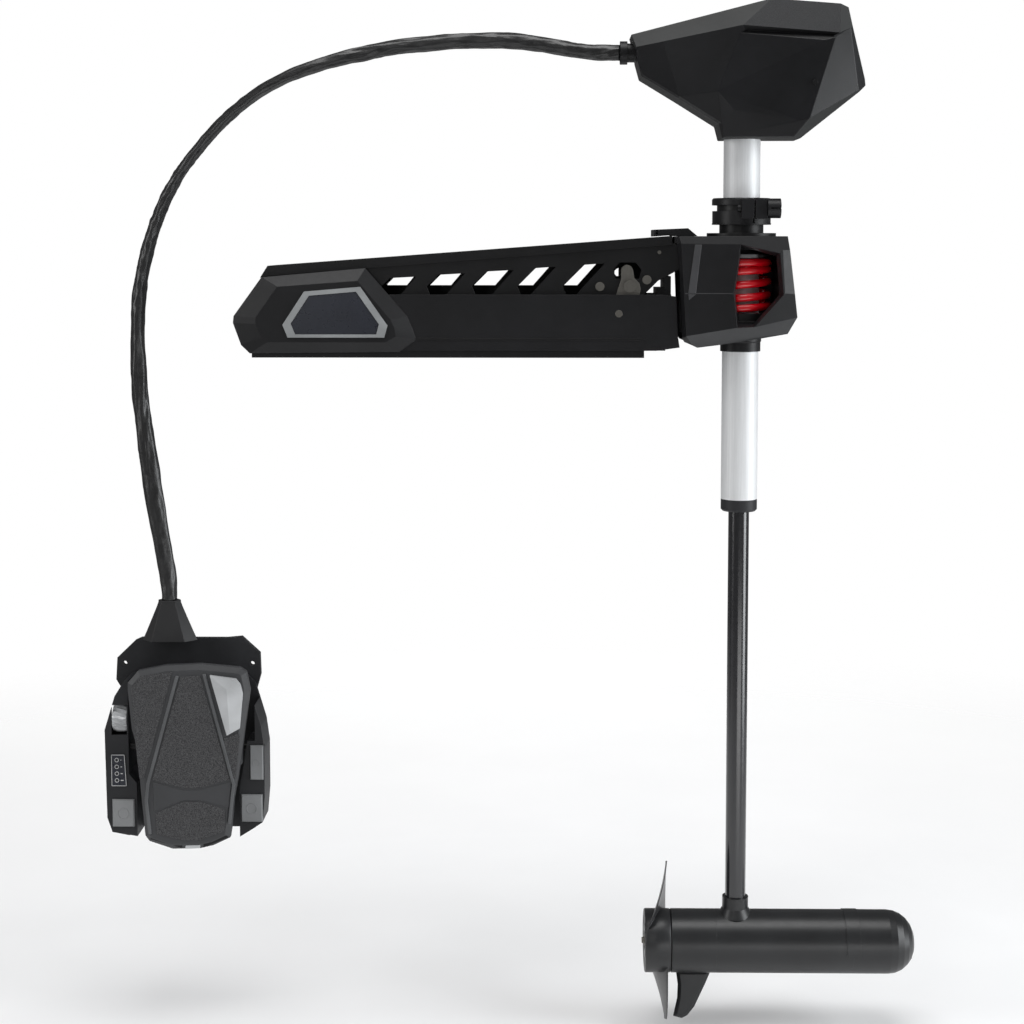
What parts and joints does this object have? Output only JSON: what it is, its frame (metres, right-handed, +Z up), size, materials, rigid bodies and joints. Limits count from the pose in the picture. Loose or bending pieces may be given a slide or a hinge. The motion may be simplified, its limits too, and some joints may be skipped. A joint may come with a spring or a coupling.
{
  "type": "trolling motor",
  "caption": "Bow-mount cable-steer electric trolling motor: folding spring mount, column with steering head, two-blade lower unit, foot pedal.",
  "frame": {"origin": "centre of the deck bolt pattern on the underside of the base plate", "axes": "+X forward to the propulsion column, +Y to port (away from the badge seen first), +Z up"},
  "size_m": [1.154, 0.136, 1.453],
  "materials": {
    "black_plastic": "fine grained satin black moulding",
    "charcoal_plastic": "grained dark charcoal moulding",
    "light_grey_plastic": "satin light grey",
    "navy_panel": "dark blue-black panel",
    "black_coated_metal": "satin black powder coat",
    "motor_paint": "satin black paint",
    "bare_steel": "brushed stainless",
    "column_aluminium": "satin clear anodised",
    "composite_shaft": "gloss black composite",
    "red_spring": "gloss red powder coat",
    "chrome_ring": "bright plated",
    "acetal": "natural acetal",
    "grip_rubber": "pebbled rubber",
    "vinyl_sleeve": "wrinkled black vinyl",
    "button_grey": "satin grey key",
    "copper_winding": "varnished copper",
    "ferrite": "sintered ferrite"
  },
  "bodies": {
    "base": {"base_plate": "black_coated_metal", "base_tray": "black_plastic", "end_cover_near": "black_plastic", "end_cover_far": "black_plastic", "badge_frames": "light_grey_plastic", "badge_panels": "navy_panel", "rear_pivot_pin": "bare_steel", "catch_pin": "bare_steel"},
    "arm": {"arm_plate_near": "black_coated_metal", "arm_plate_far": "black_coated_metal", "arm_top_rail": "black_coated_metal", "arm_spacers": "bare_steel", "arm_bolts": "bare_steel", "pivot_bushings": "acetal", "knuckle_pin": "bare_steel"},
    "latch": {"latch_levers": "bare_steel", "latch_pull_pin": "bare_steel"},
    "mount": {"mount_frame": "black_coated_metal", "side_cover_near": "black_plastic", "side_cover_far": "black_plastic", "hook_cap": "black_plastic", "breakaway_spring": "red_spring"},
    "carrier": {"carrier_sleeve": "black_plastic", "spring_seat_upper": "chrome_ring", "lower_bushing": "black_plastic", "depth_collar": "black_plastic"},
    "clamp": {"clamp_knob": "black_plastic"},
    "column": {"outer_tube": "column_aluminium", "column_end_ring": "charcoal_plastic", "column_bearings": "acetal", "head_lower_housing": "black_plastic", "head_top_cover": "charcoal_plastic", "cable_gland": "black_plastic", "head_screws": "bare_steel", "control_cable": "vinyl_sleeve", "pedal_base": "charcoal_plastic", "pedal_back_plate": "charcoal_plastic", "cable_boot": "grip_rubber", "indicator_panel": "navy_panel", "pad_pivot_pin": "bare_steel"},
    "steering": {"inner_shaft": "composite_shaft", "cable_drum": "acetal", "motor_housing": "motor_paint", "rear_end_cap": "motor_paint", "nose_cone": "motor_paint", "trim_band": "composite_shaft", "skeg": "motor_paint", "magnets": "ferrite", "motor_bearings": "bare_steel"},
    "indicator": {"direction_indicator": "light_grey_plastic"},
    "rotor": {"propeller": "black_plastic", "prop_nut": "bare_steel", "armature_shaft": "copper_winding"},
    "pad": {"foot_pad": "charcoal_plastic", "pad_grips": "grip_rubber"},
    "momentary": {"momentary_button": "button_grey"},
    "left_heel": {"left_heel_button": "button_grey"},
    "right_mode": {"right_mode_button": "button_grey"},
    "right_heel": {"right_heel_button": "button_grey"},
    "wheel": {"speed_wheel": "light_grey_plastic"}
  },
  "joints": [
    {"name": "arm_swing", "type": "hinge", "parent": "base", "child": "arm", "pos_m": [-0.214, 0, 0.08], "axis": [0, -1, 0], "range_deg": [0, 138]},
    {"name": "knuckle_fold", "type": "hinge", "parent": "arm", "child": "mount", "pos_m": [0.338, 0, 0.138], "axis": [0, -1, 0], "range_deg": [-48, 0]},
    {"name": "breakaway_tilt", "type": "hinge", "parent": "mount", "child": "carrier", "pos_m": [0.408, 0, 0.153], "axis": [0, 1, 0], "range_deg": [-4.5, 4.5], "stiffness_Nm_per_rad": 3500, "deforming": ["breakaway_spring"]},
    {"name": "depth_slide", "type": "slide", "parent": "carrier", "child": "column", "axis": [0, 0, 1], "range_m": [-0.07, 0.19]},
    {"name": "clamp_turn", "type": "hinge", "parent": "carrier", "child": "clamp", "pos_m": [0.44, -0.046, 0.205], "axis": [1, 0, 0], "range_deg": [0, 90]},
    {"name": "latch_release", "type": "hinge", "parent": "arm", "child": "latch", "pos_m": [0.251, 0, 0.098], "axis": [0, -1, 0], "range_deg": [0, 24], "stiffness_Nm_per_rad": 3, "springref_deg": -17.19},
    {"name": "steer", "type": "hinge", "parent": "column", "child": "steering", "pos_m": [0.408, 0, -0.84], "axis": [0, 0, 1], "range_deg": [-170, 170]},
    {"name": "indicator_turn", "type": "hinge", "parent": "column", "child": "indicator", "pos_m": [0.459, 0, 0.49], "axis": [0, 0, 1], "range_deg": [-170, 170]},
    {"name": "prop_spin", "type": "hinge", "parent": "steering", "child": "rotor", "pos_m": [0.3, 0, -0.84], "axis": [1, 0, 0], "continuous": true},
    {"name": "pad_tilt", "type": "hinge", "parent": "column", "child": "pad", "pos_m": [-0.365, 0, -0.56], "axis": [1, 0, 0], "range_deg": [-15, 15]},
    {"name": "momentary_press", "type": "slide", "parent": "pad", "child": "momentary", "axis": [0, 1, 0], "range_m": [0, 0.0025], "stiffness_N_per_m": 900},
    {"name": "left_heel_press", "type": "slide", "parent": "column", "child": "left_heel", "axis": [0, 1, 0], "range_m": [0, 0.002], "stiffness_N_per_m": 900},
    {"name": "right_mode_press", "type": "slide", "parent": "column", "child": "right_mode", "axis": [0, 1, 0], "range_m": [0, 0.002], "stiffness_N_per_m": 900},
    {"name": "right_heel_press", "type": "slide", "parent": "column", "child": "right_heel", "axis": [0, 1, 0], "range_m": [0, 0.002], "stiffness_N_per_m": 900},
    {"name": "speed_turn", "type": "hinge", "parent": "column", "child": "wheel", "pos_m": [-0.46975, 0.003, -0.5185], "axis": [1, 0, 0], "range_deg": [-140, 140]}
  ],
  "couplings": [
    {"joint": "knuckle_fold", "follows": "arm_swing", "ratio": -0.3478},
    {"joint": "indicator_turn", "follows": "steer", "ratio": 1},
    {"joint": "pad_tilt", "follows": "steer", "ratio": 0.088}
  ]
}
